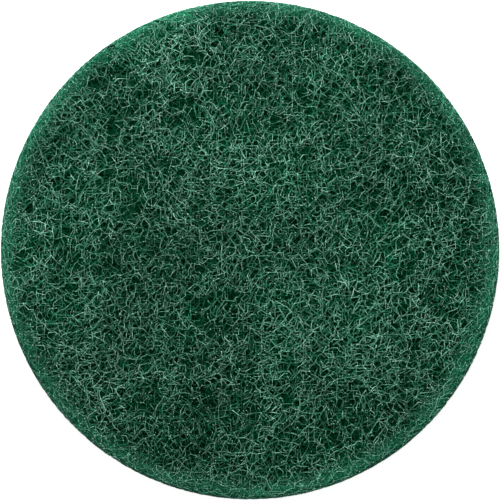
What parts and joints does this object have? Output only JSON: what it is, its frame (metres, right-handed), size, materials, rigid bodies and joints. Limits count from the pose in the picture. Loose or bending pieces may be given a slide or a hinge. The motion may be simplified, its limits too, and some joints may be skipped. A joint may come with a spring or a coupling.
{
  "type": "non-woven abrasive disc",
  "caption": "Round lofty pad of resin-bonded non-woven abrasive fibre for surface conditioning: a sander's hooks grip its back and its face scours.",
  "frame": {"origin": "centre of the lower face, where the disc rests", "axes": "+Z out of the upper face along the disc's own axis; X and Y lie in the disc and are alike"},
  "size_m": [0.125, 0.125, 0.009],
  "materials": {
    "fibre_web": "dark green synthetic fibre web bonded with resin and abrasive grain, rough with a slight resin sheen on single fibres"
  },
  "bodies": {
    "root": {"fibre_web": "fibre_web"}
  },
  "joints": []
}
